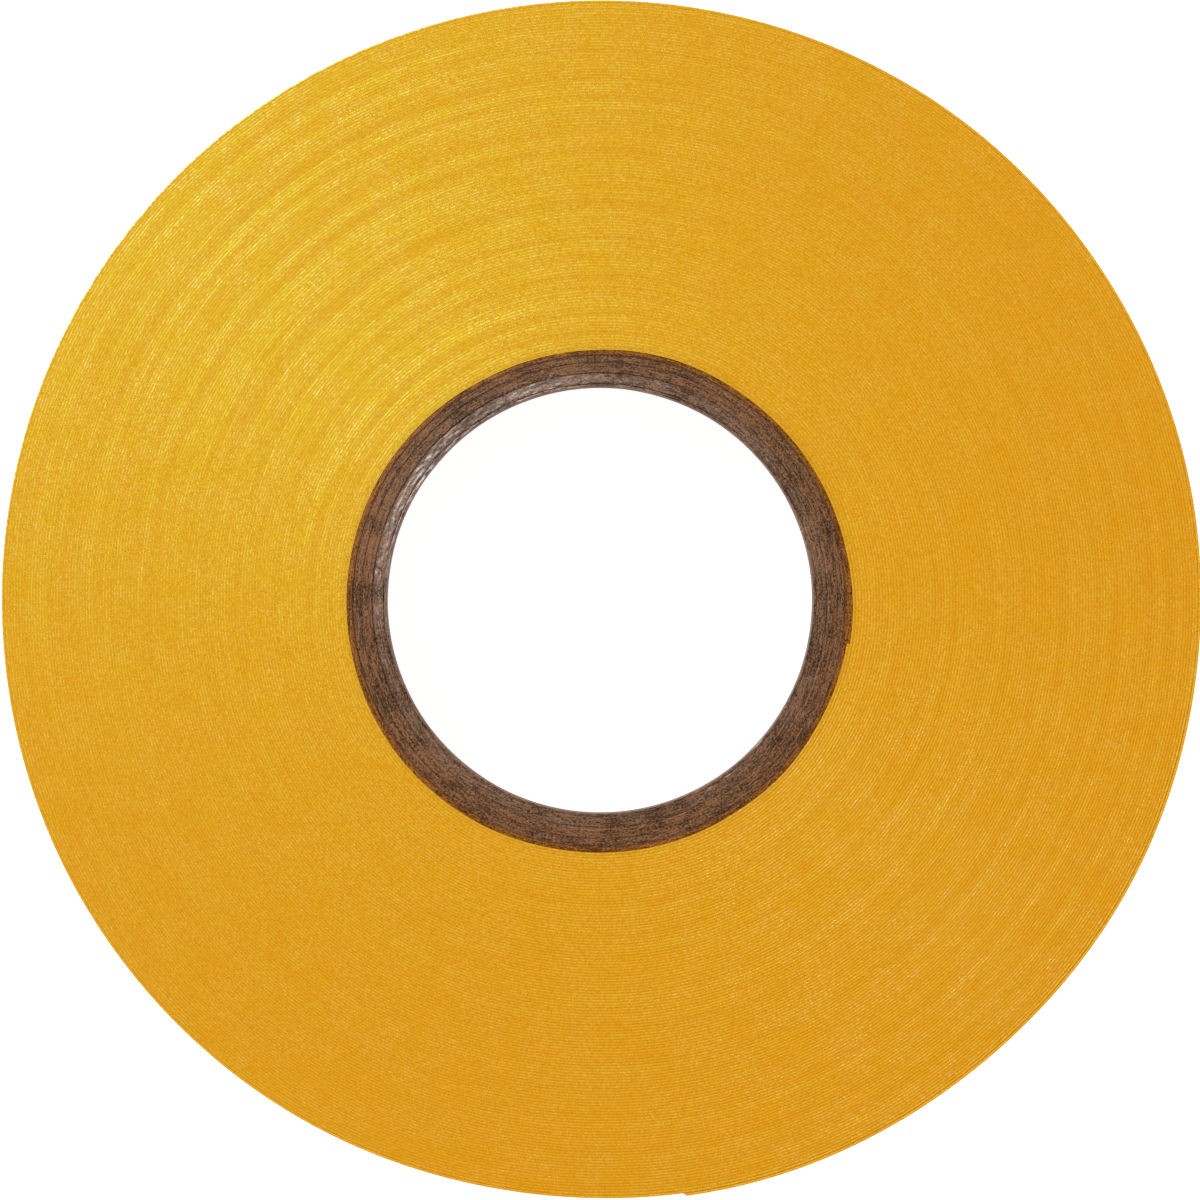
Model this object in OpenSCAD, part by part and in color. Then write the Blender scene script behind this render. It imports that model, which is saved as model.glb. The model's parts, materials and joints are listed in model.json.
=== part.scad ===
// Roll of vinyl electrical tape on a spiral-wound paperboard core.
// The roll lies flat on one side face: +Z is the roll's axis, and the origin is on that axis in the resting face.
// The strip is a true spiral, wound clockwise as seen from +Z. Each turn is two half-turn arcs whose centres are
// half a wrap apart, so the strip runs on smoothly from arc to arc and gains exactly one wrap of radius per turn.

/* [Core] */
// Diameter of the hole through the core
core_bore_d = 26.4; // [20:0.1:40]
// Thickness of the smooth paper strip that lines the hole
inner_liner_t = 0.2; // [0.1:0.05:0.4]
// Thickness of the innermost board strip
inner_ply_t = 0.7; // [0.3:0.01:1]
// Thickness of the middle board strip
middle_ply_t = 0.67; // [0.3:0.01:1]
// Thickness of the outermost board strip
outer_ply_t = 0.47; // [0.3:0.01:1]
// Thickness of the paper strip that the tape is stuck to
outer_liner_t = 0.36; // [0.1:0.02:0.5]

/* [Tape] */
// Width of the tape, which is the width of the roll
tape_w = 19.05; // [9:0.05:50]
// Thickness of the vinyl film
film_t = 0.13; // [0.1:0.01:0.2]
// Thickness of the adhesive on the film's inner side
adhesive_t = 0.048; // [0.03:0.002:0.08]
// Number of full wraps between the core and the tail
wraps = 120; // [20:1:130]

/* [Free end] */
// Direction of the free end, anticlockwise from +X
free_end_angle = 278; // [0:1:359]
// Arc of one rigid segment of the lifting end
segment_angle = 12; // [6:1:16]

/* [Hidden] */

bore_r = core_bore_d / 2;
inner_ply_r = bore_r + inner_liner_t;
middle_ply_r = inner_ply_r + inner_ply_t;
outer_ply_r = middle_ply_r + middle_ply_t;
outer_liner_r = outer_ply_r + outer_ply_t;
core_r = outer_liner_r + outer_liner_t;

// One wrap: adhesive on the inside, film on the outside
wrap_t = adhesive_t + film_t;

// The tail is the part of the strip beyond the last full wrap. It starts where that wrap ends.
tail_segments = 6;
spiral_turn = free_end_angle + tail_segments * segment_angle;

film_color = "#E2A224";
adhesive_color = "#C98A1E";
board_color = "#73513B";
liner_color = "#6B4430";

$fn = 180;

// A tube of the core, as wide as the tape
module core_tube(inner_r, wall, tube_color) {
    color(tube_color)
        rotate_extrude()
            translate([inner_r, 0])
                square([wall, tape_w]);
}

module core_inner_liner() {
    core_tube(bore_r, inner_liner_t, liner_color);
}

module core_inner_ply() {
    core_tube(inner_ply_r, inner_ply_t, board_color);
}

module core_middle_ply() {
    core_tube(middle_ply_r, middle_ply_t, board_color);
}

module core_outer_ply() {
    core_tube(outer_ply_r, outer_ply_t, board_color);
}

module core_outer_liner() {
    core_tube(outer_liner_r, outer_liner_t, liner_color);
}

// Cross-sections of one layer of the strip, one for each wrap from first to last, counted from 0.
// depth is how far the layer's inner side lies above the wrap's inner side.
module layer_sections(first, last, depth, thickness) {
    for (wrap = [first:last])
        translate([core_r + wrap * wrap_t + depth, 0])
            square([thickness, tape_w]);
}

// One layer of the wraps from first to last
module wound_layer(first, last, depth, thickness) {
    rotate([0, 0, spiral_turn]) {
        rotate([0, 0, 180])
            rotate_extrude(angle = 180)
                layer_sections(first, last, depth, thickness);
        translate([wrap_t / 2, 0, 0])
            rotate_extrude(angle = 180)
                layer_sections(first, last, depth + wrap_t / 2, thickness);
    }
}

// The strip from its inner end up to the outermost full wrap
module tape_film() {
    color(film_color)
        wound_layer(0, wraps - 2, adhesive_t, film_t);
}

module tape_adhesive() {
    color(adhesive_color)
        wound_layer(0, wraps - 2, 0, adhesive_t);
}

module outer_wrap_film() {
    color(film_color)
        wound_layer(wraps - 1, wraps - 1, adhesive_t, film_t);
}

module outer_wrap_adhesive() {
    color(adhesive_color)
        wound_layer(wraps - 1, wraps - 1, 0, adhesive_t);
}

// One layer of one segment of the tail. Segments are counted from the root to the free end.
module tail_layer(segment, depth, thickness) {
    rotate([0, 0, spiral_turn - segment * segment_angle])
        rotate_extrude(angle = segment_angle)
            layer_sections(wraps, wraps, depth, thickness);
}

module tail_film(segment) {
    color(film_color)
        tail_layer(segment, adhesive_t, film_t);
}

module tail_adhesive(segment) {
    color(adhesive_color)
        tail_layer(segment, 0, adhesive_t);
}

core_inner_liner();
core_inner_ply();
core_middle_ply();
core_outer_ply();
core_outer_liner();
tape_film();
tape_adhesive();
outer_wrap_film();
outer_wrap_adhesive();
tail_film(1);  // tail_film_1
tail_film(2);  // tail_film_2
tail_film(3);  // tail_film_3
tail_film(4);  // tail_film_4
tail_film(5);  // tail_film_5
tail_film(6);  // tail_film_6
tail_adhesive(1);  // tail_adhesive_1
tail_adhesive(2);  // tail_adhesive_2
tail_adhesive(3);  // tail_adhesive_3
tail_adhesive(4);  // tail_adhesive_4
tail_adhesive(5);  // tail_adhesive_5
tail_adhesive(6);  // tail_adhesive_6
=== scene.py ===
"""Roll of yellow vinyl electrical tape on a paperboard core, lying flat, seen from straight above.

The strip is swept along the same spiral as the CAD part, so each wrap is real geometry with its own
slit edge. The core is five paper strips whose cut ends, ply lines, seams and fuzz are modelled. The
strip's free end is made of separate pieces, one for each CAD segment.
"""
import json
import math

import bpy
import numpy as np
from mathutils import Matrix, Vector


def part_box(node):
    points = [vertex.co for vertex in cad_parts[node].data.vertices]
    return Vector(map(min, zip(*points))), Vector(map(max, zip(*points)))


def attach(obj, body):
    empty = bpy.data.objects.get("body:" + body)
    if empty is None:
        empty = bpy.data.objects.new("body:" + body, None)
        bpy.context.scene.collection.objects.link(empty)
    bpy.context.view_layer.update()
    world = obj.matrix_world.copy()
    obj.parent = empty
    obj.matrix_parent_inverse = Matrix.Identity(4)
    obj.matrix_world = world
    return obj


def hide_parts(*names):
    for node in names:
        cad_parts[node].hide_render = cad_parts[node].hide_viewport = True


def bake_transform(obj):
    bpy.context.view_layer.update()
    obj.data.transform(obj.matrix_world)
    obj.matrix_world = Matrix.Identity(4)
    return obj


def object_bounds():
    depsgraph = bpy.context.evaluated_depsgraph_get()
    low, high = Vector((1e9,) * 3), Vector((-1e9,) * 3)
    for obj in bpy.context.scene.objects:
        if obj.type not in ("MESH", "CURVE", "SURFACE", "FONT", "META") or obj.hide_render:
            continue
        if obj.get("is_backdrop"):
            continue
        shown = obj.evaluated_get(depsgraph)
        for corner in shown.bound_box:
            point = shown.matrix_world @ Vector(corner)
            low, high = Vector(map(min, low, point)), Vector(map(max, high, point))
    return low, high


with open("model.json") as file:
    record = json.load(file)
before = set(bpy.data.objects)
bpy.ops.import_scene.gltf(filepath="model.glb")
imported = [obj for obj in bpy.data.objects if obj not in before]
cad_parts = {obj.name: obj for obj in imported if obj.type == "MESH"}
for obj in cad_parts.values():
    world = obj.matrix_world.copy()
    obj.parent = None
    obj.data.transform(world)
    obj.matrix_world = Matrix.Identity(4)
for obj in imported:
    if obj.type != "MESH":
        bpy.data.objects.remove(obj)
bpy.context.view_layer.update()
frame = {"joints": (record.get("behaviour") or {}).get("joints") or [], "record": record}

MM = 0.001
TAU = 2 * math.pi

# Rounding errors stay below these, in metres and in turns
TINY_LENGTH = 1e-7
TINY_TURN = 1e-6

# ---------------------------------------------------------------- dimensions, from the frame

hinges = {j["child"]: np.array(j["pos_m"]) for j in frame["joints"]}
tail_bodies = sorted(hinges, key=lambda body: int(body.split("_")[1]))
mounts = {m["name"]: m for m in frame["record"]["mounts"]}

ROLL_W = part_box("tape_film")[1].z
BORE_R = mounts["core_bore"]["dims"]["r_mm"] * MM
CORE_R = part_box("core_outer_liner")[1].x
TAIL_R = float(np.hypot(*hinges["tail_1"][:2]))


def angle_of(point):
    return math.atan2(point[1], point[0])


ROOT_ANGLE = angle_of(hinges["tail_1"])
SEGMENT_ANGLE = (ROOT_ANGLE - angle_of(hinges["tail_2"])) % TAU

# The strip's own dimensions, as in the CAD part. The tail lies on the last of the full wraps.
WRAPS = 120
WRAP_T = (TAIL_R - CORE_R) / (WRAPS + 1)
ADHESIVE_T = 0.048 * MM
FILM_T = WRAP_T - ADHESIVE_T
ROLL_R = CORE_R + WRAPS * WRAP_T

# Winding angles are counted from the strip's inner end, clockwise as seen from above
ROOT_WINDING = WRAPS * TAU
OUTER_WRAP_WINDING = ROOT_WINDING - TAU

random = np.random.RandomState(7)


# ------------------------------------------------------- how far the real roll is from round and flat

def smooth_rings(low, high):
    """A smooth random curve round the circle, about -1 to 1, from the harmonics low to high."""
    orders = np.arange(low, high + 1)
    sizes = random.uniform(0.5, 1.0, len(orders)) / np.sqrt(len(orders) / 2)
    phases = random.uniform(0, TAU, len(orders))
    return lambda angle: sum(
        size * np.cos(order * angle + phase) for order, size, phase in zip(orders, sizes, phases)
    )


OUTER_LUMP = 0.028 * MM
CORE_LUMP = 0.015 * MM
outer_lumps = smooth_rings(4, 9)
core_lumps = smooth_rings(2, 7)

# The tape squeezes the core, which is a little off centre and has blunt kinks: direction and half width
# in degrees, height in mm
CORE_SQUEEZE = 0.05 * MM
CORE_SHIFT = 0.11 * MM
CORE_SHIFT_DIRECTION = math.radians(215)
CORE_KINKS = ((-44, 14, 0.07), (72, 18, 0.05), (118, 34, -0.14), (205, 38, 0.07), (245, 15, 0.04))
FADE_OUT = 3.5 * MM
FADE_IN = 1.0 * MM


def core_bulge(angle):
    """How far the core's surface lies outside its ideal radius."""
    total = CORE_SHIFT * np.cos(angle - CORE_SHIFT_DIRECTION) + CORE_LUMP * core_lumps(angle)
    total = total - CORE_SQUEEZE
    for centre, width, height in CORE_KINKS:
        away = (np.degrees(angle) - centre + 180) % 360 - 180
        total = total + height * MM * np.clip(1 - np.abs(away) / width, 0, 1)
    return total


# The spiral leaves the core slowly. The real strip hugs it, and climbs over its own inner end in a short
# ramp, which the core's soft outer paper swells to fill.
RAMP = math.radians(28)
RAMP_FADE = 14 * WRAP_T
RAMP_FILL = 0.97
WRAP_PAPER_T = CORE_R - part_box("core_outer_ply")[1].x


def hug(angle, radius):
    """Outward shift of the innermost wraps and the wrap paper, which closes the gap between them."""
    clockwise = (ROOT_ANGLE - angle) % TAU
    spiral = np.where(clockwise > math.pi, (1 + np.cos(clockwise)) / 2, 0.0)
    t = np.clip((clockwise - TAU + RAMP) / RAMP, 0, 1)
    ramp = t * t * (3 - 2 * t)
    from_core = radius - CORE_R
    wound = (ramp - spiral) * np.exp(-np.abs(from_core) / RAMP_FADE)
    paper = RAMP_FILL * ramp * np.clip(1 + from_core / WRAP_PAPER_T, 0, 1)
    return WRAP_T * np.where(from_core > TINY_LENGTH, wound, paper)


def bulge(angle, radius):
    """How far the wound layers lie outside their ideal radius."""
    from_core = radius - CORE_R
    near_core = np.exp(-np.abs(from_core) / np.where(from_core > 0, FADE_OUT, FADE_IN))
    outward = np.clip(from_core / (ROLL_R - CORE_R), 0, 1)
    return OUTER_LUMP * outer_lumps(angle) * outward + core_bulge(angle) * near_core + hug(angle, radius)


def polar_points(angle, radius, z):
    """Points at an angle, radius and height, moved outwards by the roll's own bulge."""
    r = radius + bulge(angle, radius)
    return np.stack([r * np.cos(angle), r * np.sin(angle), z], axis=-1)


def spiral_points(winding, depth, z):
    """Points of the strip. depth is the height above the strip's inner side, outwards."""
    half_turns = np.floor(winding / math.pi + TINY_TURN)
    second_half = half_turns % 2 == 1
    radius = CORE_R + half_turns * WRAP_T / 2 + depth
    x = np.where(second_half, WRAP_T / 2, 0.0) + radius * np.cos(winding)
    y = -radius * np.sin(winding)
    angle = np.arctan2(y, x) + ROOT_ANGLE
    return polar_points(angle, np.hypot(x, y), z)


# The slit edges rise and fall in broad bands, so many turns wide, whose sum peaks at about BAND_PEAK.
# Each wrap also stands a little higher or lower than the next.
EDGE_BAND = 0.014 * MM
EDGE_STEP = 0.005 * MM
BAND_TURNS = (41.0, 23.0, 14.0, 9.1, 6.2)
BAND_PEAK = 2.2
band_phases = random.uniform(0, TAU, (len(BAND_TURNS), 3))
wrap_steps = random.normal(0, EDGE_STEP, WRAPS + 3)


def edge_height(winding, depth=0.0):
    """How far the strip's slit edge stands beyond its ideal width, on each side."""
    turn = winding / TAU + depth / WRAP_T
    band = 0
    for turns, (a, b, c) in zip(BAND_TURNS, band_phases):
        swell = 0.65 + 0.35 * np.sin(winding + b)
        band = band + np.sin(turn * TAU / turns + a + 0.5 * np.sin(winding + c)) * swell
    step = np.interp(winding / TAU, np.arange(len(wrap_steps)), wrap_steps)
    return EDGE_BAND * band / BAND_PEAK + step


def strip_length(winding):
    """Length of strip from its inner end to a winding angle."""
    return CORE_R * winding + WRAP_T * winding**2 / (2 * TAU)


# ---------------------------------------------------------------- meshes

# Two maps of every piece: metres along and around it, for the materials, and a layout for baking,
# with one band for each side face and one for the upright sides
STRIP_UV = "Strip"
EXPORT_UV = "OFBake"
EDGE_BAND_V = 0.38
SIDE_BAND_V = 0.20
SEAM_ROOM = 0.99
# Points this near to a side face, as a share of the width, lie in its band
EDGE_BAND_UP = 0.01


def export_layout(points):
    """Turns round the roll, and up the map: upper edges, lower edges, and then upright sides by height."""
    x, y, z = np.moveaxis(points, -1, 0)
    turn = np.unwrap(np.arctan2(y, x), axis=0) / TAU
    across = np.clip((np.hypot(x, y) - BORE_R) / (ROLL_R - BORE_R), 0, 1)
    up = z / ROLL_W
    v = 2 * EDGE_BAND_V + SIDE_BAND_V * np.clip(up, 0, 1)
    v = np.where(up < EDGE_BAND_UP, EDGE_BAND_V * (1 + across), v)
    v = np.where(up > 1 - EDGE_BAND_UP, EDGE_BAND_V * across, v)
    return np.stack([turn, v], axis=-1)


def strip_layout(points, along):
    """Metres along the piece, and metres round its section."""
    ring = points[len(points) // 2]
    around = np.concatenate([[0], np.cumsum(np.linalg.norm(np.diff(ring, axis=0), axis=1))])
    return np.stack(np.broadcast_arrays(np.asarray(along)[:, None], around[None, :]), axis=-1)


def sweep(name, points, along, slots, sharp=(), ring=False):
    """A closed solid from a grid of points: stations along a path by points round a section.

    along is each station's place on the path, in metres, and a ring's has one more, where it meets its
    start. slots is each section side's material, and sharp lists the section points whose long edges
    aren't smoothed.
    """
    stations, sides = points.shape[:2]
    rows = np.arange(stations if ring else stations - 1)
    i, k = (a.ravel() for a in np.meshgrid(rows, np.arange(sides), indexing="ij"))
    i_next, k_next = (i + 1) % stations, (k + 1) % sides
    corners = (i, k), (i, k_next), (i_next, k_next), (i_next, k)
    loops = np.stack([station * sides + side for station, side in corners], axis=-1)
    grid = np.concatenate([points, points[:, :1]], axis=1)
    if ring:
        grid = np.concatenate([grid, grid[:1]])
    maps = {STRIP_UV: strip_layout(grid, along), EXPORT_UV: export_layout(grid)}
    corner_maps = {
        key: np.stack([uv[i, k], uv[i, k + 1], uv[i + 1, k + 1], uv[i + 1, k]], axis=1)
        for key, uv in maps.items()
    }
    turns = corner_maps[EXPORT_UV][..., 0]
    turns -= np.floor(turns.min(axis=1, keepdims=True) + TINY_TURN)
    turns *= SEAM_ROOM
    starts, material = np.arange(len(loops)) * 4, np.asarray(slots)[k]
    loops = loops.ravel()
    if not ring:
        first, last = np.arange(sides)[::-1], np.arange(sides)
        starts = np.concatenate([starts, [len(loops), len(loops) + sides]])
        loops = np.concatenate([loops, first, last + (stations - 1) * sides])
        material = np.concatenate([material, [slots[0], slots[0]]])
        for key, uv in maps.items():
            caps = np.concatenate([uv[0, first], uv[-1, last]])
            corner_maps[key] = np.concatenate([corner_maps[key].reshape(-1, 2), caps])

    mesh = bpy.data.meshes.new(name)
    mesh.vertices.add(stations * sides)
    mesh.vertices.foreach_set("co", points.astype(np.float32).ravel())
    mesh.loops.add(len(loops))
    mesh.loops.foreach_set("vertex_index", loops.astype(np.int32))
    mesh.polygons.add(len(starts))
    mesh.polygons.foreach_set("loop_start", starts.astype(np.int32))
    mesh.polygons.foreach_set("material_index", material.astype(np.int32))
    mesh.polygons.foreach_set("use_smooth", np.ones(len(starts), bool))
    for key, uv in corner_maps.items():
        mesh.uv_layers.new(name=key).data.foreach_set("uv", uv.astype(np.float32).ravel())
    mesh.update(calc_edges=True)

    ends = np.empty(len(mesh.edges) * 2, np.int32)
    mesh.edges.foreach_get("vertices", ends)
    a, b = ends.reshape(-1, 2).T
    keep = (a % sides == b % sides) & np.isin(a % sides, sharp)
    if not ring:
        keep |= (a // sides == b // sides) & np.isin(a // sides, [0, stations - 1])
    mesh.attributes.new("sharp_edge", "BOOLEAN", "EDGE").data.foreach_set("value", keep)

    piece = bpy.data.objects.new(name, mesh)
    bpy.context.scene.collection.objects.link(piece)
    return piece


def dress(piece, slot, *materials):
    for material in materials:
        piece.data.materials.append(material)
    return piece


# ---------------------------------------------------------------- the strip

# A slit edge slopes down outwards from a small lip near its inner side, and the adhesive lies below it
EDGE_SLOT, FACE_SLOT = 0, 1
SHOULDER_DROP = 0.036 * MM
LIP_W = 0.12 * FILM_T
LIP_DROP = 0.006 * MM
ADHESIVE_RECESS = 0.020 * MM
STEPS_PER_WRAP = 120


def mirrored(top):
    """A section from its upper half: depth, drop below the slit edge's top, and 1 for up or -1 for down."""
    upper = [(depth, drop, 1) for depth, drop in top]
    return upper + [(depth, drop, -1) for depth, drop in reversed(top)]


def windings_between(start, end, per_turn):
    """Winding angles of the stations, from the outer end to the inner: anticlockwise, like every sweep."""
    return np.linspace(end, start, int(round((end - start) / TAU * per_turn)) + 1)


def strip_grid(windings, section):
    """Points of a section of the strip, at each winding angle."""
    winding = windings[:, None]
    depth, drop, side = (np.array(a)[None, :] for a in zip(*section))
    height = ROLL_W / 2 + edge_height(winding, depth) - drop
    return spiral_points(winding + 0 * depth, depth + 0 * winding, ROLL_W / 2 + side * height)


FILM_EDGE = [(ADHESIVE_T, LIP_DROP), (ADHESIVE_T + LIP_W, 0.0), (WRAP_T, SHOULDER_DROP)]
GLUE_EDGE = [(0.0, 0.4 * ADHESIVE_RECESS), (ADHESIVE_T, ADHESIVE_RECESS)]


def inner_wraps(edge, face, glue_edge):
    windings = windings_between(0, OUTER_WRAP_WINDING, STEPS_PER_WRAP)
    along = strip_length(windings)
    slots = [EDGE_SLOT, EDGE_SLOT, FACE_SLOT, EDGE_SLOT, EDGE_SLOT, FACE_SLOT]
    film_grid = strip_grid(windings, mirrored(FILM_EDGE))
    film = sweep("wound_film", film_grid, along, slots, sharp=(0, 2, 3, 5))
    glue_grid = strip_grid(windings, mirrored(GLUE_EDGE))
    glue = sweep("wound_adhesive", glue_grid, along, [EDGE_SLOT] * 4, sharp=(0, 1, 2, 3))
    return dress(film, "vinyl_film", edge, face), dress(glue, "adhesive", glue_edge)


# The visible outside has a finer section: a wider lip, a rounded shoulder, and a face with long ridges
OUTER_LIP_W = 0.2 * FILM_T
SHOULDER_R = 0.07 * MM
SIDE_STEPS = 30
RIDGE = 0.012 * MM
ridge_phases = random.uniform(0, TAU, (4, 3))


def face_ridges(winding, up):
    """Slight unevenness of the outer face, long round the roll and short across it."""
    total = 0
    for order, (a, b, c) in enumerate(ridge_phases, start=1):
        wave = np.sin(up * math.pi * (order * 2 + 1) + a + 0.6 * np.sin(winding * (order + 2) + b))
        total = total + wave * (0.6 + 0.4 * np.sin(winding * (5 + 2 * order) + c)) / order
    return RIDGE * total / 2


def outer_section():
    """Section of the outermost film: depth, and height up the strip."""
    turn = np.linspace(0, math.pi / 2, 5)
    top = [(ADHESIVE_T, ROLL_W - LIP_DROP), (ADHESIVE_T + OUTER_LIP_W, ROLL_W)]
    for a in turn:
        top.append((WRAP_T - SHOULDER_R * (1 - math.sin(a)), ROLL_W - SHOULDER_R * (1 - math.cos(a))))
    face = np.linspace(ROLL_W - SHOULDER_R, SHOULDER_R, SIDE_STEPS + 1)[1:-1]
    return top + [(WRAP_T, z) for z in face] + [(depth, ROLL_W - z) for depth, z in reversed(top)]


# The free end's cut is uneven: each wave's size, radians from the bottom of the strip to its top, and phase
CUT_DEPTH = 0.10 * MM
CUT_OFFSET = 1.2
CUT_WAVES = ((1.0, 21, 0), (0.5, 47, 1), (0.3, 113, 2))


def cut_line(up):
    """How far short of a straight cut the strip's end falls, in metres. up is 0 to 1 up the strip."""
    total = CUT_OFFSET
    for size, waves, phase in CUT_WAVES:
        total = total + size * np.sin(up * waves + phase)
    return CUT_DEPTH * total


OUTER_STEPS = 720
# The part of the shoulder that the knife has cut reaches this far from a side face, as a share of the width
EDGE_SHARE = 0.0025


def outer_film(name, start, end, edge, face, steps_per_turn=OUTER_STEPS, cut=False):
    section = outer_section()
    windings = windings_between(start, end, steps_per_turn)
    along = strip_length(windings)
    depth, z = (np.array(a)[None, :] for a in zip(*section))
    up = z / ROLL_W
    winding = windings[:, None] + 0 * depth
    if cut:
        winding = winding - cut_line(up) / ROLL_R * (winding - start) / (end - start)
    on_face = np.sin(np.clip(up, 0, 1) * math.pi) ** 0.5 * (depth > WRAP_T - TINY_LENGTH)
    stretched = ROLL_W / 2 + (up - 0.5) * (ROLL_W + 2 * edge_height(winding, depth))
    points = spiral_points(winding, depth + face_ridges(winding, up) * on_face, stretched)
    slots = [EDGE_SLOT if min(u, 1 - u) < EDGE_SHARE else FACE_SLOT for u in up[0]]
    slots[-1] = FACE_SLOT
    piece = sweep(name, points, along, slots, sharp=(0, len(section) - 1))
    return dress(piece, "vinyl_film", edge, face)


def outer_adhesive(name, start, end, edge, face, steps_per_turn=OUTER_STEPS):
    windings = windings_between(start, end, steps_per_turn)
    points = strip_grid(windings, mirrored(GLUE_EDGE))
    piece = sweep(name, points, strip_length(windings), [EDGE_SLOT, FACE_SLOT] * 2, sharp=(0, 1, 2, 3))
    return dress(piece, "adhesive", edge, face)


# Stations per turn of the free end's pieces
TAIL_STEPS = 1440


def tail(edge, face, glue_edge, glue_face):
    """The free end: one piece of film and one of adhesive for each CAD segment."""
    for number, body in enumerate(tail_bodies, start=1):
        start = ROOT_WINDING + (number - 1) * SEGMENT_ANGLE
        end = start + SEGMENT_ANGLE
        last = number == len(tail_bodies)
        film_name, glue_name = f"free_end_film_{number}", f"free_end_adhesive_{number}"
        film = outer_film(film_name, start, end, edge, face, TAIL_STEPS, cut=last)
        glue = outer_adhesive(glue_name, start, end, glue_edge, glue_face, TAIL_STEPS)
        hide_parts(f"tail_film_{number}")
        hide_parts(f"tail_adhesive_{number}")
        for piece in (film, glue):
            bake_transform(piece)


# ---------------------------------------------------------------- the paperboard core

PLY_STEPS = 720
LINING_ACROSS_STEPS = 3
LINING_WALL_STEPS = 90
# A strip's cut end sinks into a groove at each side, and slopes down outwards by LEAN of its thickness
GROOVE = 0.030 * MM
GROOVE_W = 0.08 * MM
LEAN = 0.17
FUZZ = 0.013 * MM
# The cut has turned up a burr round the hole. It fades out over BURR_W, down to BURR_LEVEL of its height
# below the side face.
BURR = 0.060 * MM
BURR_W = 0.30 * MM
BURR_LEVEL = 0.4
# Each strip has one joint between two lengths of paper, a slanting nick in its cut end, in radians round it
NICK_DEPTH = 0.12 * MM
NICK_SLANT = 0.03
NICK_WIDTH = 0.012


def fuzz(shape, size, smooth):
    """Random heights, smoothed along the first axis, with no seam where a ring closes."""
    rough = random.normal(0, 1, shape)
    reach = 3 * smooth
    kernel = np.exp(-0.5 * (np.arange(-reach, reach + 1) / smooth) ** 2)
    kernel /= np.sqrt((kernel**2).sum())
    wrapped = np.concatenate([rough[-reach:], rough, rough[:reach]])
    return size * np.apply_along_axis(lambda row: np.convolve(row, kernel, "valid"), 0, wrapped)


def beside(angle, where, width):
    """1 at a direction, falling to 0 at a width beside it."""
    away = (angle - where + math.pi) % TAU - math.pi
    return np.clip(1 - np.abs(away) / width, 0, 1)


def core_ply(name, inner_r, outer_r, slot, board, burr=0.0, across_steps=8, wall=None, wall_steps=1):
    """One wound paper strip of the core, with rough cut ends."""
    thickness = outer_r - inner_r
    angle = np.linspace(0, TAU, PLY_STEPS, endpoint=False)[:, None]
    across = np.linspace(0, 1, across_steps + 1)[None, :]
    radius = inner_r + thickness * across
    from_side = np.minimum(across, 1 - across) * thickness
    swell = np.sin(angle * 5 + inner_r / MM * 9) * np.sin(angle * 2 + inner_r / MM * 5)
    groove = GROOVE * np.clip(1 - from_side / GROOVE_W, 0, 1) * (0.65 + 0.35 * swell)
    ends = []
    for side in (1, -1):
        slanted = angle + (across - 0.5) * NICK_SLANT
        nick = NICK_DEPTH * beside(slanted, random.uniform(0, TAU), NICK_WIDTH)
        rough = fuzz((PLY_STEPS, across_steps + 1), FUZZ, 1) + fuzz((PLY_STEPS, 1), FUZZ / 2, 9)
        turned_up = burr * (np.exp((BORE_R - radius) / BURR_W) - BURR_LEVEL)
        sloped = LEAN * thickness * (0.5 - across)
        height = ROLL_W / 2 - groove - nick + rough + turned_up + sloped
        ends.append(polar_points(angle + 0 * radius, radius + 0 * angle, ROLL_W / 2 + side * height))
    top, bottom = ends
    rows = [top, bottom[:, ::-1]]
    slots = ([EDGE_SLOT] * across_steps + [FACE_SLOT]) * 2
    if wall is not None:
        up = np.linspace(0, 1, wall_steps + 1)[None, 1:-1]
        z = bottom[:, :1, 2] + (top[:, :1, 2] - bottom[:, :1, 2]) * up
        rows.append(polar_points(angle + 0 * up, inner_r + wall(angle, z), z))
        slots += [FACE_SLOT] * (wall_steps - 1)
    along = random.uniform(0, 1) + np.linspace(0, TAU, PLY_STEPS + 1) * (inner_r + outer_r) / 2
    corners = (0, across_steps, across_steps + 1, 2 * across_steps + 1)
    piece = sweep(name, np.concatenate(rows, axis=1), along, slots, sharp=corners, ring=True)
    return dress(piece, slot, *board)


# The lining strip's edges meet in a helical seam. Its bottom is flat for SEAM_FLAT of a sloping side's
# width on either side of its middle. Its angle is the one at the lower side face.
SEAM_SLOPE = math.radians(38)
SEAM_ANGLE = 2.1
SEAM_SIDE_W = 0.32 * MM
SEAM_FLAT = 0.6
SEAM_DEPTH = 0.11 * MM
LINING_RIPPLE = 0.012 * MM
RIPPLE_TWIST = 60
lining_lumps = smooth_rings(5, 12)


def bore_wall(angle, z):
    """Depth of the lining strip's seam, which climbs the hole as a helix, and the lining's ripples."""
    seam_angle = SEAM_ANGLE + z * math.tan(math.pi / 2 - SEAM_SLOPE) / BORE_R
    away = ((angle - seam_angle + math.pi) % TAU - math.pi) * BORE_R * math.sin(SEAM_SLOPE)
    gap = SEAM_DEPTH * np.clip(1 + SEAM_FLAT - np.abs(away) / SEAM_SIDE_W, 0, 1)
    ripple = LINING_RIPPLE * lining_lumps(angle + z * RIPPLE_TWIST)
    return gap + ripple


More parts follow.
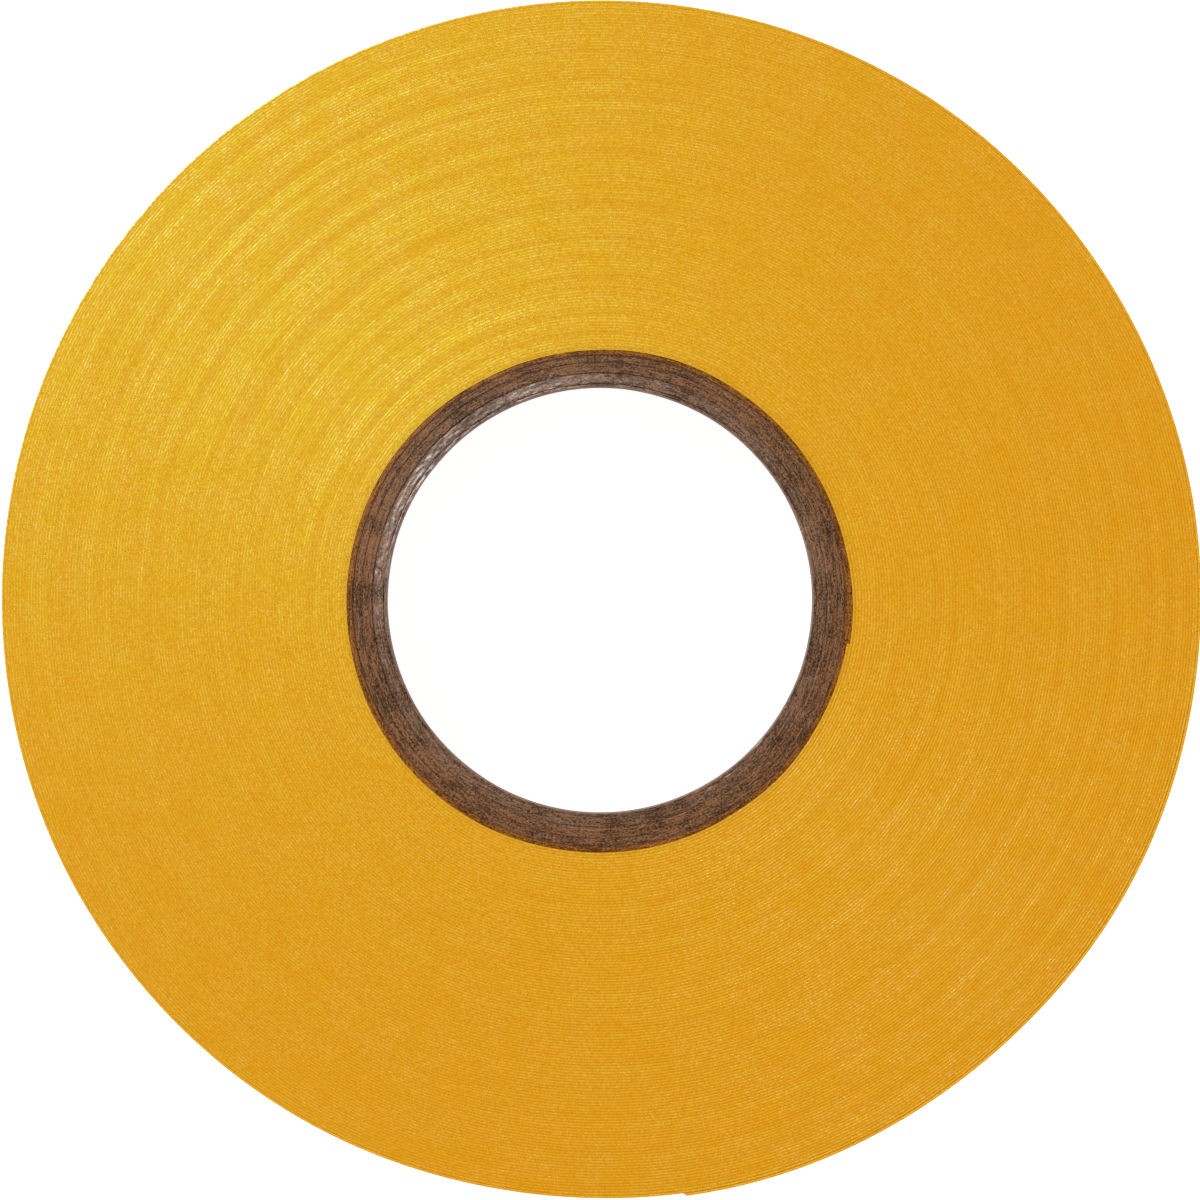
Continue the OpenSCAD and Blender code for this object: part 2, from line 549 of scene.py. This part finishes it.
def core(lining, board, wrap):
    nodes = ("core_inner_liner", "core_inner_ply", "core_middle_ply", "core_outer_ply", "core_outer_liner")
    radii = [BORE_R] + [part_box(node)[1].x for node in nodes]
    pieces = [
        core_ply(
            "core_lining_paper", *radii[0:2], "core_lining", lining, BURR,
            LINING_ACROSS_STEPS, bore_wall, LINING_WALL_STEPS,
        ),
        core_ply("core_inner_board", *radii[1:3], "core_board", board, BURR),
        core_ply("core_middle_board", *radii[2:4], "core_board", board),
        core_ply("core_outer_board", *radii[3:5], "core_board", board),
        core_ply("core_wrap_paper", *radii[4:6], "core_wrap", wrap),
    ]
    for node, piece in zip(nodes, pieces):
        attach(piece, "roll")
        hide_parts(node)


# ---------------------------------------------------------------- materials

def srgb(red, green, blue):
    """A colour as a screen shows it, 0 to 255, in linear light."""
    def linear(c):
        c /= 255
        return c / 12.92 if c <= 0.04045 else ((c + 0.055) / 1.055) ** 2.4
    return (linear(red), linear(green), linear(blue), 1)


# A surface counts as seen square on up to the first value of Facing, and at a low angle from the second
SQUARE_ON, LOW_ANGLE = 0.08, 0.18
LOW_ANGLE_GLEAM = 0.06


class Nodes:
    """Short calls that build one material's node tree."""

    def __init__(self, name):
        self.material = bpy.data.materials.new(name)
        self.material.use_nodes = True
        self.tree = self.material.node_tree
        self.shader = self.tree.nodes["Principled BSDF"]
        self.place = self.add("TexCoord").outputs["Object"]
        strip = self.add("UVMap", uv_map=STRIP_UV).outputs[0]
        self.along, self.around, _ = self.add("SeparateXYZ", {"Vector": strip}).outputs
        x, y, _ = self.add("SeparateXYZ", {"Vector": self.place}).outputs
        flat = self.add("CombineXYZ", {"X": x, "Y": y}).outputs[0]
        self.radius = self.add("VectorMath", {0: flat}, operation="LENGTH").outputs["Value"]
        self.outward = self.add("VectorMath", {0: flat}, operation="NORMALIZE").outputs[0]

    def add(self, kind, inputs=None, **settings):
        node = self.tree.nodes.new("ShaderNode" + kind)
        for key, value in settings.items():
            setattr(node, key, value)
        for key, value in (inputs or {}).items():
            self.feed(node.inputs[key], value)
        return node

    def feed(self, socket, value):
        if isinstance(value, bpy.types.NodeSocket):
            self.tree.links.new(value, socket)
        else:
            socket.default_value = value

    def set(self, **values):
        for key, value in values.items():
            self.feed(self.shader.inputs[key.replace("_", " ")], value)

    def maths(self, operation, a, b=0.0):
        return self.add("Math", {0: a, 1: b}, operation=operation).outputs[0]

    def total(self, *parts):
        """Sum of (value, factor) pairs."""
        out = self.maths("MULTIPLY", *parts[0])
        for value, factor in parts[1:]:
            out = self.add("Math", {0: value, 1: factor, 2: out}, operation="MULTIPLY_ADD").outputs[0]
        return out

    def blend(self, amount, a, b):
        """From colour a to colour b, which are sockets 6 and 7 of a colour mix, whose result is socket 2."""
        return self.add("Mix", {0: amount, 6: a, 7: b}, data_type="RGBA").outputs[2]

    def span(self, value, low, high, to_low=0.0, to_high=1.0):
        """value from low to high, eased to the range to_low to to_high."""
        inputs = {0: value, 1: low, 2: high, 3: to_low, 4: to_high}
        return self.add("MapRange", inputs, interpolation_type="SMOOTHSTEP").outputs[0]

    def noise(self, vector, scale=1.0, detail=2.0, roughness=0.5):
        inputs = {"Vector": vector, "Scale": scale, "Detail": detail, "Roughness": roughness}
        return self.add("TexNoise", inputs).outputs["Fac"]

    def fibres(self, along, around, detail=2.0, roughness=0.5):
        """Noise drawn out along the strip, in cells per millimetre."""
        u = self.maths("MULTIPLY", self.along, along / MM)
        v = self.maths("MULTIPLY", self.around, around / MM)
        flat = self.add("CombineXYZ", {"X": u, "Y": v}).outputs[0]
        return self.noise(flat, detail=detail, roughness=roughness)

    def bands(self, around, across):
        """Noise in broad rings about the roll's axis, in cells per radian and per millimetre of radius."""
        turned = self.add("VectorMath", {0: self.outward, "Scale": around}, operation="SCALE").outputs[0]
        r = self.add("CombineXYZ", {"Z": self.maths("MULTIPLY", self.radius, across / MM)}).outputs[0]
        return self.noise(self.add("VectorMath", {0: turned, 1: r}, operation="ADD").outputs[0])

    def from_above(self):
        """1 where a surface is seen square on, and little at low angles, where it shades its own gleam."""
        facing = self.add("LayerWeight", {"Blend": 0.5}).outputs["Facing"]
        return self.span(facing, SQUARE_ON, LOW_ANGLE, 1.0, LOW_ANGLE_GLEAM)

    def bump(self, height, distance, strength=1.0, normal=None):
        inputs = {"Height": height, "Distance": distance, "Strength": strength}
        if normal is not None:
            inputs["Normal"] = normal
        return self.add("Bump", inputs).outputs[0]


# Colour of a gleam on the strip's cut edges
GLEAM_TINT = (0.46, 1.0, 0.08, 1)
# Widths of the speckled rim, whose specks are partly painted highlight, of the darker rings next to the
# core, and of the speckled rings there, whose specks are partly painted glints
RIM_W = 0.5 * MM
DARK_NEAR_CORE_W = 0.6 * MM
SPECKLED_W = 5 * MM


def slit_edge_material():
    """The knife-slit edge of the film: matt, scored along the cut, with pale torn specks that gleam."""
    n = Nodes("vinyl_slit_edge")
    streaks = n.fibres(0.30, 4.5, detail=2, roughness=0.6)
    dashes = n.fibres(5.5, 4.5, detail=2, roughness=0.6)
    grain = n.noise(n.place, scale=6800, detail=1.5, roughness=0.6)
    rings = n.bands(1.2, 0.55)
    scores = n.bands(3.2, 1.7)
    tone = n.total((dashes, 0.10), (streaks, 0.05), (grain, 0.55), (rings, 0.17), (scores, 0.13))
    colour = n.blend(n.span(tone, 0.41, 0.59), srgb(208, 133, 12), srgb(214, 146, 18))
    # Painted shade: the wraps grow more orange outwards, in place of the light falling off on the outer
    # wraps
    orange = n.span(n.radius, CORE_R, ROLL_R, 0.0, 0.65)
    colour = n.blend(orange, colour, srgb(210, 132, 14))
    # The wraps next to the core are coloured darker
    dark_near_core = n.span(n.radius, CORE_R, CORE_R + DARK_NEAR_CORE_W, 0.4, 0.0)
    colour = n.blend(dark_near_core, colour, srgb(182, 114, 16))

    # More pale specks near the core: partly real gloss, partly painted glints in their lighter colour
    near_core = n.span(n.radius, CORE_R, CORE_R + SPECKLED_W, 0.12, 0.0)
    # More pale specks at the outer rim: partly real gloss, partly painted highlight in their lighter colour
    rim_specks_and_painted_highlight = n.span(n.radius, ROLL_R - RIM_W, ROLL_R, 0.0, 0.2)
    patches = n.noise(n.place, scale=420, detail=3, roughness=0.6)
    patches = n.total((patches, 1.0), (near_core, 1.0), (rim_specks_and_painted_highlight, 1.0))
    clusters = n.span(patches, 0.40, 0.58, 0.1, 1.0)
    torn = n.span(n.noise(n.place, scale=6500, detail=1.5, roughness=0.6), 0.50, 0.60)
    specks = n.maths("MULTIPLY", torn, clusters)
    colour = n.blend(n.maths("MULTIPLY", specks, 0.30), colour, srgb(232, 170, 26))

    scored = n.total((dashes, 0.48), (streaks, 0.14), (grain, 0.38))
    lines = n.span(scored, 0.42, 0.58, 0.30, 0.70)
    dull_rings = n.span(rings, 0.40, 0.60, 1.0, 0.88)
    dull_scores = n.span(scores, 0.46, 0.60, 1.0, 0.78)
    dull = n.maths("MULTIPLY", dull_rings, dull_scores)
    square_on = n.from_above()
    gleam = n.maths("MULTIPLY", n.maths("MULTIPLY", lines, dull), square_on)
    sparkle = n.total((specks, 0.8), (n.span(scored, 0.49, 0.60), 0.17))
    n.set(
        Base_Color=colour,
        Roughness=0.50,
        Specular_IOR_Level=gleam,
        Specular_Tint=GLEAM_TINT,
        Coat_Weight=n.maths("MULTIPLY", sparkle, n.maths("MULTIPLY", square_on, square_on)),
        Coat_Roughness=0.27,
        Normal=n.bump(n.total((dashes, 0.6), (grain, 0.8)), 0.010 * MM, 0.2),
    )
    return n.material


def vinyl_face_material():
    """The calendered outer face of the film: an even gloss, faint streaks and fine orange peel."""
    n = Nodes("vinyl_face")
    streaks = n.fibres(0.03, 1.3, detail=4, roughness=0.65)
    cloud = n.noise(n.place, scale=90, detail=3)
    colour = n.blend(n.span(streaks, 0.3, 0.7), srgb(208, 140, 12), srgb(219, 154, 19))
    colour = n.blend(n.span(cloud, 0.35, 0.7, 0.0, 0.5), colour, srgb(221, 148, 14))
    peel = n.fibres(2.2, 2.6, detail=2)
    dents = n.fibres(0.14, 0.35, detail=3)
    n.set(
        Base_Color=colour,
        Roughness=n.span(streaks, 0.25, 0.75, 0.24, 0.36),
        Specular_IOR_Level=0.16,
        Subsurface_Weight=0.06,
        Subsurface_Radius=(0.6 * MM, 0.35 * MM, 0.08 * MM),
        Normal=n.bump(dents, 0.03 * MM, 0.5, n.bump(peel, 0.004 * MM, 0.5)),
    )
    return n.material


def adhesive_edge_material():
    """The adhesive between two wraps, seen edge on: the film's yellow, clouded with dust, and painted a
    little lighter to offset the shade in its recess.
    """
    n = Nodes("adhesive_edge")
    dust = n.fibres(2.0, 5.0, detail=4, roughness=0.7)
    # Painted light: a little lighter than the film's edge colours, offsetting the shade in the recess
    # between wraps
    colour = n.blend(n.span(dust, 0.35, 0.7), srgb(213, 140, 13), srgb(219, 151, 19))
    n.set(
        Base_Color=colour,
        Roughness=0.5,
        Specular_IOR_Level=n.maths("MULTIPLY", n.from_above(), 0.38),
        Specular_Tint=GLEAM_TINT,
    )
    return n.material


def adhesive_face_material():
    """The tacky side of the lifted strip: the film's yellow through a clear, pebbled, glossy layer."""
    n = Nodes("adhesive_face")
    pebble = n.fibres(1.6, 1.6, detail=3, roughness=0.6)
    cloud = n.fibres(0.2, 0.2, detail=3)
    colour = n.blend(n.span(cloud, 0.3, 0.7), srgb(208, 140, 16), srgb(223, 156, 26))
    n.set(
        Base_Color=colour,
        Roughness=n.span(pebble, 0.3, 0.7, 0.25, 0.45),
        Specular_IOR_Level=0.30,
        Coat_Weight=0.2,
        Coat_Roughness=0.2,
        Normal=n.bump(pebble, 0.01 * MM, 0.6),
    )
    return n.material


def scaled(colour, factor):
    return tuple(factor * c for c in colour[:3]) + (1,)


# How far the darker colour reaches from a strip's inner corner
DARK_CORNER_W = 0.11 * MM
# Near the hole the cut end is rubbed smooth, fully up to the first distance and not beyond the second
RUBBED_W, FIBROUS_W = 0.65 * MM, 1.10 * MM


def cut_board_material(name, middle, polish=0.0, rim=None):
    """Cut end of a paper strip: matted fibres along the strip, with dark pores and pale flecks.

    polish is how strongly the rubbed part gleams, and rim is the darker colour at the strip's inner corner.
    """
    n = Nodes(name)
    fibres = n.fibres(0.9, 6.5, detail=4, roughness=0.8)
    grains = n.fibres(6.5, 9.5, detail=2, roughness=0.6)
    patches = n.noise(n.place, scale=500, detail=3)
    tone = n.total((fibres, 0.45), (grains, 0.40), (patches, 0.15))
    colour = n.blend(n.span(tone, 0.42, 0.58), scaled(middle, 0.30), scaled(middle, 1.75))
    colour = n.blend(n.span(grains, 0.60, 0.72, 0.0, 0.6), colour, scaled(middle, 2.6))
    colour = n.blend(n.span(grains, 0.28, 0.40, 0.8, 0.0), colour, scaled(middle, 0.15))
    if rim is not None:
        halfway = WRAP_PAPER_T + ROLL_W / 2
        from_middle = n.maths("ABSOLUTE", n.total((n.around, 1.0), (1.0, -halfway)))
        from_corner = n.total((from_middle, -1.0), (1.0, halfway))
        colour = n.blend(n.span(from_corner, 0.0, DARK_CORNER_W, 0.85, 0.0), colour, rim)
    inner_side = n.span(n.radius, BORE_R + RUBBED_W, BORE_R + FIBROUS_W, polish, 0.0)
    rubbed = n.maths("MULTIPLY", inner_side, n.span(patches, 0.32, 0.54, 0.35, 1.0))
    shine = n.maths("MULTIPLY", rubbed, n.span(grains, 0.4, 0.6, 0.65, 1.0))
    n.set(
        Base_Color=colour,
        Roughness=0.52,
        Specular_IOR_Level=0.03,
        Coat_Weight=n.maths("MULTIPLY", shine, n.from_above()),
        Coat_Roughness=0.40,
        Normal=n.bump(n.total((fibres, 1.0), (grains, 0.8)), 0.040 * MM, 0.8),
    )
    return n.material


def paper_face_material(name, dark, light):
    """Smooth kraft paper: long fibres lying along the strip and a faint cloudiness."""
    n = Nodes(name)
    fibres = n.fibres(0.7, 2.6, detail=5, roughness=0.75)
    cloud = n.noise(n.place, scale=140, detail=3)
    tone = n.total((fibres, 0.7), (cloud, 0.3))
    n.set(
        Base_Color=n.blend(n.span(tone, 0.35, 0.65), dark, light),
        Roughness=0.68,
        Specular_IOR_Level=0.3,
        Sheen_Weight=0.1,
        Normal=n.bump(fibres, 0.02 * MM, 0.6),
    )
    return n.material


def floor_material():
    """A pale matt table, lit a little from within so that it stays pale under the roll."""
    n = Nodes("studio_floor")
    grain = n.noise(n.place, scale=60, detail=3)
    n.set(
        Base_Color=n.blend(grain, (0.86, 0.86, 0.86, 1), (0.90, 0.90, 0.90, 1)),
        Roughness=0.9,
        Specular_IOR_Level=0.1,
        Emission_Color=(1, 1, 1, 1),
        Emission_Strength=0.75,
    )
    return n.material


# ---------------------------------------------------------------- stage

FLOOR_HALF = 3.0


def floor(z):
    """A square table top at a height of z."""
    mesh = bpy.data.meshes.new("floor")
    h = FLOOR_HALF
    mesh.from_pydata([(-h, -h, z), (h, -h, z), (h, h, z), (-h, h, z)], [], [(0, 1, 2, 3)])
    mesh.materials.append(floor_material())
    plane = bpy.data.objects.new("floor", mesh)
    bpy.context.scene.collection.objects.link(plane)
    plane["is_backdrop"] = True


# Both lamps stand on the same side, in degrees anticlockwise from +X
LAMP_AZIMUTH = 135
LAMP_DISTANCE = 0.9
KEY_LAMP = {"elevation": 48, "size": 0.5, "power": 2.0}
GLEAM_LAMP = {"elevation": 38, "size": 0.45, "power": 61.0}


def area_light(name, elevation, size, power, glossy_only=False):
    """A soft square lamp that faces the roll. A glossy_only lamp shows in reflections only."""
    lamp = bpy.data.lights.new(name, "AREA")
    lamp.shape = "SQUARE"
    lamp.size = size
    lamp.energy = power
    thing = bpy.data.objects.new(name, lamp)
    a, e = math.radians(LAMP_AZIMUTH), math.radians(elevation)
    towards = Vector((math.cos(e) * math.cos(a), math.cos(e) * math.sin(a), math.sin(e)))
    thing.location = LAMP_DISTANCE * towards
    direction = Vector((0, 0, ROLL_W / 2)) - thing.location
    thing.rotation_euler = direction.to_track_quat("-Z", "Y").to_euler()
    thing.visible_diffuse = not glossy_only
    bpy.context.scene.collection.objects.link(thing)


# The room gives even light but weak reflections, so that only the gleam shows on the slit edges
ROOM_LIGHT = 1.0
ROOM_REFLECTION = 0.3


def lights():
    area_light("key", **KEY_LAMP)
    area_light("gleam", **GLEAM_LAMP, glossy_only=True)
    world = bpy.data.worlds.new("studio")
    world.use_nodes = True
    nodes, links = world.node_tree.nodes, world.node_tree.links
    background = nodes["Background"]
    background.inputs["Color"].default_value = (1, 1, 1, 1)
    strength = nodes.new("ShaderNodeMapRange")
    strength.inputs["To Min"].default_value = ROOM_LIGHT
    strength.inputs["To Max"].default_value = ROOM_REFLECTION
    links.new(nodes.new("ShaderNodeLightPath").outputs["Is Glossy Ray"], strength.inputs["Value"])
    links.new(strength.outputs["Result"], background.inputs["Strength"])
    bpy.context.scene.world = world


LENS_MM = 1200
SENSOR_MM = 36
FRAME_MARGIN = 1.0022
VIEW_LIMIT = 10


def camera():
    """Straight above the roll, which fills the frame, and too far off to see its sides."""
    lens = bpy.data.cameras.new("camera")
    lens.lens = LENS_MM
    lens.sensor_width = SENSOR_MM
    thing = bpy.data.objects.new("camera", lens)
    distance = ROLL_R * FRAME_MARGIN / (SENSOR_MM / 2 / LENS_MM)
    thing.location = (0, 0, ROLL_W + distance)
    lens.clip_end = VIEW_LIMIT
    bpy.context.scene.collection.objects.link(thing)
    bpy.context.scene.camera = thing
    bpy.context.scene.view_settings.view_transform = "Standard"


# ---------------------------------------------------------------- build

BOARD_BROWN = srgb(105, 72, 47)
BOARD_POLISH = 0.46


def build():
    edge, face = slit_edge_material(), vinyl_face_material()
    glue_edge, glue_face = adhesive_edge_material(), adhesive_face_material()
    film, glue = inner_wraps(edge, face, glue_edge)
    outer_span = OUTER_WRAP_WINDING, ROOT_WINDING
    pieces = {
        "tape_film": film,
        "tape_adhesive": glue,
        "outer_wrap_film": outer_film("outermost_film", *outer_span, edge, face),
        "outer_wrap_adhesive": outer_adhesive("outermost_adhesive", *outer_span, glue_edge, glue_face),
    }
    for node, piece in pieces.items():
        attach(piece, "roll")
        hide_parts(node)
    tail(edge, face, glue_edge, glue_face)

    lining_face = paper_face_material("lining_paper", srgb(96, 66, 48), srgb(132, 97, 74))
    wrap_face = paper_face_material("wrap_paper", srgb(88, 52, 30), srgb(120, 76, 48))
    board = cut_board_material("cut_board", BOARD_BROWN, BOARD_POLISH)
    lining = cut_board_material("cut_lining", BOARD_BROWN, BOARD_POLISH)
    wrap = cut_board_material("cut_wrap", srgb(119, 74, 27), rim=srgb(92, 46, 16))
    core((lining, lining_face), (board, lining_face), (wrap, wrap_face))


build()
roll_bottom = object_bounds()[0][2]
floor(roll_bottom)
lights()
camera()
